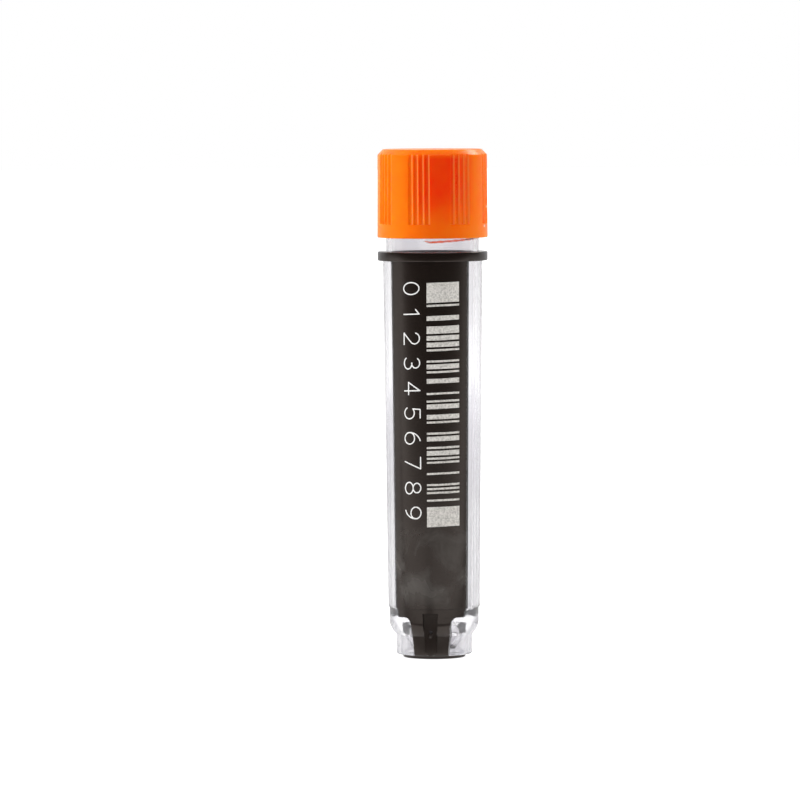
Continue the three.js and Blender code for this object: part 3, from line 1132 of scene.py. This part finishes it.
def grip_azimuths():
    """Azimuths round the cap, close together across the grooves."""
    spacing = 2 * math.pi / GRIP_GROUPS
    half_grooved = GROOVE_PITCH * (GROOVES_PER_GROUP / 2 + 0.1)
    grooved = np.linspace(-half_grooved, half_grooved, 61)
    plain = np.linspace(half_grooved, spacing - half_grooved, 12)[1:-1]
    group = np.concatenate((grooved, plain))
    return np.concatenate([GRIP_AZIMUTH + spacing * i + group for i in range(GRIP_GROUPS)])


def cap_outline():
    roof_z = CAP_TOP_Z - CAP_ROOF
    grip_z = CAP_LOW_Z + SMOOTH_BAND
    thread_low_z = CAP_THREAD_Z - THREAD_ROOT
    thread_high_z = thread_low_z + THREAD_LEAD * CAP_TURNS + 2 * THREAD_ROOT
    slope = (CAP_FOOT_R - CAP_TOP_R) / (CAP_TOP_Z - CAP_LOW_Z)
    grip_r = CAP_FOOT_R - slope * SMOOTH_BAND
    return trace([
        Corner(0, roof_z),
        Corner(CAP_BORE_R, roof_z, round=ROOF_ROUND),
        Corner(CAP_BORE_R, thread_high_z, step=BORE_ROW),
        Corner(CAP_BORE_R, max(thread_low_z, CAP_LOW_Z + 1.2 * LEAD_IN)),
        Corner(CAP_BORE_R, CAP_LOW_Z + LEAD_IN),
        Corner(CAP_BORE_R + LEAD_IN, CAP_LOW_Z, round=0.05 * MM),
        Corner(CAP_FOOT_R, CAP_LOW_Z, round=EDGE_ROUND),
        Corner(grip_r, grip_z - 0.05 * MM, step=0.03 * MM),
        Corner(grip_r, grip_z + 0.15 * MM, step=1.2 * MM),
        Corner(CAP_TOP_R, CAP_TOP_Z - CAP_CHAMFER, round=0.08 * MM, step=0.06 * MM),
        Corner(CAP_TOP_R - CAP_CHAMFER, CAP_TOP_Z, round=EDGE_ROUND),
        Corner(0.6 * CAP_TOP_R, CAP_TOP_Z),
        Corner(0, CAP_TOP_Z),
    ])


def screw_cap(grip, thread, material):
    piece = turned("screw_cap", cap_outline(), grip_azimuths(), material)
    run_tree(piece, grip, {
        "Groups": float(GRIP_GROUPS),
        "Grooves": float(GROOVES_PER_GROUP),
        "Pitch": GROOVE_PITCH,
        "Depth": GROOVE_DEPTH,
        "Cutter Radius": GROOVE_CUTTER_R,
        "Wall Radius": CAP_FOOT_R,
        "Azimuth": GRIP_AZIMUTH,
        "Foot": CAP_LOW_Z + SMOOTH_BAND,
        "Foot Round": 0.1 * MM,
        "Edge Round": 0.05 * MM,
    })
    run_tree(piece, thread, {
        "Side": -1.0,
        "Wall Radius": CAP_BORE_R,
        "Start": CAP_THREAD_Z,
        "Turns": CAP_TURNS,
        **THREAD_FORM,
    })
    return smoothed(piece, sharp_degrees=50)


def sealing_ring(material):
    outline = trace([
        Corner(SEAL_BORE_R, SEAL_LOW_Z, round=SEAL_ROUND),
        Corner(SEAL_OUTER_R, SEAL_LOW_Z, round=SEAL_ROUND),
        Corner(SEAL_OUTER_R, SEAL_TOP_Z, round=SEAL_ROUND),
        Corner(SEAL_BORE_R, SEAL_TOP_Z, round=SEAL_ROUND),
    ], closed=True)
    azimuths = even_azimuths(SEAL_COLUMNS)
    return smoothed(turned("sealing_ring", outline, azimuths, material, closed=True))


# ================================ print ================================


def arc(x, y, rx, ry, start, end, steps=16):
    angles = np.radians(np.linspace(start, end, steps + 1))
    return [(x + rx * math.cos(a), y + ry * math.sin(a)) for a in angles]


def turned_over(strokes):
    return [[(DIGIT_WIDTH - x, 1 - y) for x, y in stroke] for stroke in strokes]


# Plain engraved numerals, one digit high. Each stroke is a smooth run, and strokes meet at
# the corners.
DIGIT_WIDTH = 0.72
STRAIGHT_PARTS = 12              # a straight stroke is divided into these to be bent
END_ANGLES = (75, 50, 25)        # degrees round a stroke's round end
SIX = [
    arc(0.36, 0.32, 0.34, 0.32, 0, 360, 28),
    arc(0.64, 0.32, 0.62, 0.68, 180, 102),
]
STROKES = {
    "0": [arc(0.36, 0.5, 0.35, 0.5, 90, 450, 32)],
    "1": [[(0.14, 0.78), (0.4, 1.0)], [(0.4, 1.0), (0.4, 0.0)]],
    "2": [
        arc(0.36, 0.69, 0.32, 0.31, 165, -38),
        [(0.61, 0.5), (0.04, 0.0)],
        [(0.04, 0.0), (0.7, 0.0)],
    ],
    "3": [arc(0.34, 0.75, 0.29, 0.25, 150, -90), arc(0.34, 0.26, 0.34, 0.26, 90, -150)],
    "4": [[(0.5, 1.0), (0.0, 0.28)], [(0.0, 0.28), (0.72, 0.28)], [(0.5, 1.0), (0.5, 0.0)]],
    "5": [
        [(0.64, 1.0), (0.14, 1.0)],
        [(0.14, 1.0), (0.1, 0.56)],
        arc(0.34, 0.32, 0.34, 0.32, 135, -150),
    ],
    "6": SIX,
    "7": [[(0.02, 1.0), (0.7, 1.0)], [(0.7, 1.0), (0.26, 0.0)]],
    "8": [arc(0.36, 0.76, 0.28, 0.24, 0, 360, 28), arc(0.36, 0.26, 0.34, 0.26, 0, 360, 28)],
    "9": turned_over(SIX),
}


def stroke_loops(points):
    """Loops of a flat ribbon along a stroke, with round ends."""
    parts = 1 if len(points) > 2 else STRAIGHT_PARTS
    points = np.array([
        (1 - k / parts) * np.array(a) + k / parts * np.array(b)
        for a, b in zip(points, points[1:]) for k in range(parts)
    ] + [points[-1]])
    half = STROKE_WIDTH / 2
    along = np.gradient(points, axis=0)
    along /= np.linalg.norm(along, axis=1)[:, None]
    ends = [(half * math.sin(a), half * math.cos(a)) for a in np.radians(END_ANGLES)]
    stations = [(points[0] - along[0] * out, along[0], width) for out, width in ends]
    stations += [(point, direction, half) for point, direction in zip(points, along)]
    stations += [(points[-1] + along[-1] * out, along[-1], width) for out, width in ends[::-1]]
    loops = []
    for point, direction, width in stations:
        aside = np.array((-direction[1], direction[0])) * width
        (x0, z0), (x1, z1) = point - aside, point + aside
        loops.append([
            (x0, -PRINT_PROUD, z0), (x1, -PRINT_PROUD, z1),
            (x1, PRINT_DEPTH, z1), (x0, PRINT_DEPTH, z0),
        ])
    return loops


def code_digits(wrap_print, material):
    """A column of numerals that reads downwards, drawn flat and then wrapped on the panel."""
    vertices, faces = [], []
    for place, digit in enumerate(DIGIT_TEXT):
        top = PRINT_TOP_Z - DIGIT_PITCH * place
        for stroke in STROKES[digit]:
            flat = [((y - 0.5) * DIGIT_HEIGHT, top - x * DIGIT_HEIGHT) for x, y in stroke]
            loops = stroke_loops(flat)
            first = len(vertices)
            last = first + 4 * (len(loops) - 1)
            vertices.extend(point for loop in loops for point in loop)
            faces.extend(face[::-1] for face in skin_faces(len(loops), 4, first))
            faces.append((first, first + 1, first + 2, first + 3))
            faces.append((last + 3, last + 2, last + 1, last))
    piece = new_piece("code_digits", vertices, faces, material)
    return run_tree(piece, wrap_print, {"Azimuth": DIGITS_AZIMUTH, "Slant": PRINT_SLANT})


def code_bars(bars, material):
    piece = new_piece("code_bars", [], [], material)
    return run_tree(piece, bars, {
        "Bars": 28,
        "Seed": 11,
        "Top": PRINT_TOP_Z,
        "Foot": BARS_FOOT_Z,
        "Span": BARS_SPAN,
        "Narrow": 0.28 * MM,
        "Widest": 1.05 * MM,
        "Widest Gap": 1.3 * MM,
        "Block": 2.8 * MM,
        "Proud": PRINT_PROUD,
        "Depth": PRINT_DEPTH,
        "Azimuth": BARS_AZIMUTH,
        "Slant": PRINT_SLANT,
    })


# ================================ studio ================================

# The camera: where it looks, where it stands from there, its lens in millimetres and its roll.
CAMERA_TARGET = Vector((-5.05 * MM, 0, 39.1 * MM))
CAMERA_STAND = Vector((0, -1.024, 0.054))
CAMERA_LENS = 303.8
CAMERA_ROLL = -0.27 * DEGREE
CAMERA_NEAR = 0.05

# Lamps: azimuth and elevation in degrees, distance, size, power in watts, seen in gloss.
LAMPS = {
    "left_box": (-88, 10, 0.9, (0.5, 0.7), 7.0, False),
    "right_box": (100, 12, 0.9, (0.4, 0.7), 3.0, False),
    "top_box": (-10, 72, 1.1, (0.8, 0.8), 4.0, False),
    "back_box": (135, 42, 1.0, (0.25, 0.25), 2.5, True),
}

# The surround: angles in degrees from straight behind the tube, and heights of a unit view.
BACKDROP_MIDDLE = -2
FOLDS_EDGE = (5, 12)
SIDE_WALLS = (55, 75)
ROOM_EDGE = (88, 112)
CLOTH_END = (115, 140)
LIGHT_EDGE = (80, 110)
WINDOW_FOOT, WINDOW_TOP = (0.62, 0.68), (0.86, 0.92)
FOLD_TURNS, FOLD_SWAY = 19.0, 9.0

# The floor: ranges of y, or of the distance from the axis, over which a part of it begins
# or ends. Gloss shows the dark parts, and the clear plastic shows the cloth and the room.
FLOOR_Z = -0.02 * MM
FLOOR_HALF = 4.0
DARK_AHEAD = (-0.36, -0.14)
DARK_PATCH = ((-0.10, -0.075), (-0.024, -0.017))
PATCH_SIDE = (7 * MM, 13 * MM)
NEAREST_PATCH = ((-0.043, -0.036), (-0.018, -0.014))
DARK_SIDES = (70, 115)
ROOM_AHEAD = (-0.14, -0.06)
FAR_CLOTH = ((0.3, 0.6), (0.68, 0.78))
GLOW_NEAR, GLOW_FAR, GLOW_BEHIND = (0.01, 0.035), (0.35, 0.7), (0.05, 0.5)


def degrees(pair):
    return [angle * DEGREE for angle in pair]


def make_camera():
    data = bpy.data.cameras.new("camera")
    data.lens = CAMERA_LENS
    data.clip_start = CAMERA_NEAR
    camera = bpy.data.objects.new("camera", data)
    bpy.context.scene.collection.objects.link(camera)
    camera.location = CAMERA_TARGET + CAMERA_STAND
    aim = (CAMERA_TARGET - camera.location).to_track_quat("-Z", "Y")
    camera.rotation_mode = "QUATERNION"
    camera.rotation_quaternion = aim @ Quaternion((0, 0, 1), CAMERA_ROLL)
    bpy.context.scene.camera = camera


def softbox(name, azimuth, elevation, distance, size, power, in_gloss):
    """A soft rectangular lamp that looks at the middle of the tube."""
    azimuth, elevation = degrees((azimuth, elevation))
    data = bpy.data.lights.new(name, "AREA")
    data.shape = "RECTANGLE"
    data.size, data.size_y = size
    data.energy = power
    lamp = bpy.data.objects.new(name, data)
    bpy.context.scene.collection.objects.link(lamp)
    away = Vector((
        math.cos(elevation) * math.sin(azimuth),
        -math.cos(elevation) * math.cos(azimuth),
        math.sin(elevation),
    ))
    lamp.location = Vector((0, 0, CAP_TOP_Z / 2)) + away * distance
    lamp.rotation_mode = "QUATERNION"
    lamp.rotation_quaternion = (-away).to_track_quat("-Z", "Y")
    lamp.visible_glossy = in_gloss
    lamp.visible_transmission = in_gloss


def folded(graph, azimuth):
    """1 in the folds of a hung cloth and 0 between them."""
    sway = graph.get(
        "ShaderNodeTexNoise",
        {"W": azimuth, "Scale": 5.0, "Detail": 1.0},
        noise_dimensions="1D",
    )
    phase = graph.math("MULTIPLY_ADD", azimuth, FOLD_TURNS, sway * FOLD_SWAY)
    return graph.ramp(graph.math("SINE", phase), -0.6, 0.9, smooth=True)


def make_surround():
    """White behind the tube, pale folds at its sides and a dark room in front of it.

    The camera sees only the white."""
    world = bpy.data.worlds.new("surround")
    bpy.context.scene.world = world
    world.use_nodes = True
    graph = Graph(world.node_tree)
    x, y, z = graph.split(graph.get("ShaderNodeTexCoord", output="Generated"))
    from_back = graph.math("ARCTAN2", x, y)
    aside = graph.math("ABSOLUTE", from_back - BACKDROP_MIDDLE * DEGREE)
    folds = folded(graph, from_back)
    hung = graph.ramp(aside, *degrees(FOLDS_EDGE))
    pale = graph.mix(hung, WHITE, graph.mix(folds, WHITE, (0.55, 0.56, 0.63)))
    cloths = graph.mix(graph.ramp(aside, *degrees(CLOTH_END)), pale, (0.46, 0.5, 0.58))
    walls = graph.ramp(aside, *degrees(SIDE_WALLS), smooth=True)
    room = graph.ramp(aside, *degrees(ROOM_EDGE), smooth=True)
    sides = graph.mix(walls, pale, (0.18, 0.17, 0.16))
    window = graph.band(z, WINDOW_FOOT, WINDOW_TOP) * room
    dark_room = graph.mix(window, (0.05, 0.042, 0.036), (2.4, 2.8, 3.4))
    mirrored = graph.mix(room, sides, dark_room)
    shown = graph.mix(graph.ray("Transmission"), mirrored, cloths)
    lighting = graph.ramp(aside, *degrees(LIGHT_EDGE), 0.75, 0.5, smooth=True)
    camera_ray = graph.ray("Camera")
    seen = graph.most(camera_ray, graph.ray("Glossy"), graph.ray("Transmission"))
    for_all = graph.mix(seen, graph.mix(lighting, BLACK, WHITE), shown)
    backdrop = graph.tree.nodes["Background"]
    graph.feed(backdrop.inputs["Color"], graph.mix(camera_ray, for_all, WHITE))


def make_floor():
    """A pale floor.

    Gloss shows dark parts ahead of the tube and beside it. The clear plastic shows folded
    cloth behind the tube and a dim room ahead of it. The camera sees only the pale floor."""
    finish = Finish("floor", Roughness=0.6, Specular_IOR_Level=0.0)
    through = finish.ray("Transmission")
    mirrored = finish.math("SUBTRACT", finish.ray("Glossy"), through, clamp=True)
    x, y, _ = finish.split(finish.place())
    from_back = finish.math("ARCTAN2", x, y)
    aside = finish.math("ABSOLUTE", from_back)
    away = finish.radius(x, y)

    from_land = finish.math("ABSOLUTE", x - y * -math.tan(2 * PANEL_AZIMUTH))
    straight = finish.ramp(from_land, *PATCH_SIDE, 1.0, 0.0)
    far_ahead = finish.ramp(y, *DARK_AHEAD, 1.0, 0.0, smooth=True)
    beside = finish.ramp(aside, *degrees(DARK_SIDES), 0.45, 0.0, smooth=True)
    patch = finish.band(y, *DARK_PATCH) * straight
    nearest = finish.band(y, *NEAREST_PATCH, 0.85)
    in_gloss = mirrored * finish.most(far_ahead, beside, patch, nearest)

    in_clear = through * finish.ramp(y, *ROOM_AHEAD, 1.0, 0.0, smooth=True)
    distant = finish.band(away, *FAR_CLOTH, 0.9, 0.05, 0.06)
    folds = folded(finish, from_back)
    greyed = finish.math("MULTIPLY_ADD", folds, 0.55, distant, clamp=True)
    cloth = finish.mix(through * greyed, (0.8, 0.8, 0.8), (0.385, 0.375, 0.41))
    seen_through = finish.mix(in_clear, cloth, (0.12, 0.15, 0.21))

    mirror_glow = mirrored * finish.ramp(in_gloss, 0.0, 1.0, 0.55, 0.03)
    near_glow = finish.ramp(away, *GLOW_NEAR, 0.65, 0.0)
    far_glow = finish.ramp(away, *GLOW_FAR, 0.0, 0.62)
    clear_glow = through * finish.most(near_glow, far_glow, in_clear)
    camera_glow = finish.ray("Camera") * finish.ramp(away, *GLOW_BEHIND, 0.82, 0.95)
    material = finish.coat(
        Base_Color=finish.mix(in_gloss, seen_through, (0.08, 0.075, 0.07)),
        Emission_Color=finish.mix(in_clear, WHITE, (0.6, 0.66, 0.76)),
        Emission_Strength=finish.most(mirror_glow, clear_glow, camera_glow),
    )
    half = FLOOR_HALF
    square = ((-half, -half), (half, -half), (half, half), (-half, half))
    floor = new_piece("floor", [(*xy, FLOOR_Z) for xy in square], [(0, 1, 2, 3)], material)


def make_studio():
    make_surround()
    make_floor()
    for name, lamp in LAMPS.items():
        softbox(name, *lamp)


# ================================ assembly ================================


def stands_for(piece, body, slot, *nodes):
    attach(piece, body)
    if nodes:
        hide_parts(*nodes)


make_camera()
make_studio()

wrap = wrap_tree()
grip_grooves = grip_tree()
screw_thread = thread_tree()

clear = clear_plastic()
black = black_plastic()
orange = orange_plastic()
silicone = pale_silicone()
bar_mark = laser_mark("laser_bars", (0.30, 0.285, 0.26), (0.86, 0.83, 0.78))
digit_mark = laser_mark("laser_digits", (0.80, 0.79, 0.77), (0.92, 0.92, 0.91))

stands_for(clear_vessel(screw_thread, clear), "vessel", "clear_plastic", "tube")
stands_for(black_jacket(black), "vessel", "black_plastic", "jacket")
stands_for(screw_cap(grip_grooves, screw_thread, orange), "cap", "orange_plastic", "cap")
stands_for(sealing_ring(silicone), "seal", "pale_silicone", "seal_ring")
stands_for(code_bars(bars_tree(wrap), bar_mark), "vessel", "black_plastic")
stands_for(code_digits(wrap_print_tree(wrap), digit_mark), "vessel", "black_plastic")

scene = bpy.context.scene
scene.view_settings.view_transform = "Standard"
